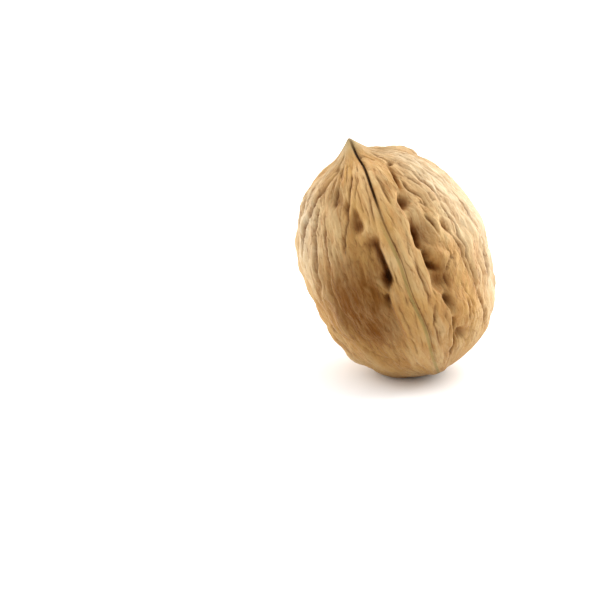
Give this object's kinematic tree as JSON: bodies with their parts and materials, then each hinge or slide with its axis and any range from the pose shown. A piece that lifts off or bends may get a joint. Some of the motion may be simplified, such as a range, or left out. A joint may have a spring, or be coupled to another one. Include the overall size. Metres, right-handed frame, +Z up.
{
  "type": "walnut",
  "caption": "Whole walnut in its shell, egg-shaped with a pointed tip, a raised seam band beside deep pits, and long creased ribs, leaning on a small flat spot.",
  "frame": {"origin": "on the surface that the walnut stands on, straight below the middle of its body, on its flat spot", "axes": "+Z up from the flat spot; -Y the side with the front of the seam; the pointed tip leans towards -X and a little towards +Y"},
  "size_m": [0.0349, 0.0343, 0.0411],
  "materials": {
    "shell": "dry, matt nutshell with a slight sheen on its ribs, pale tan, darker in its pits and creases"
  },
  "bodies": {
    "root": {"walnut_shell": "shell"}
  },
  "joints": []
}
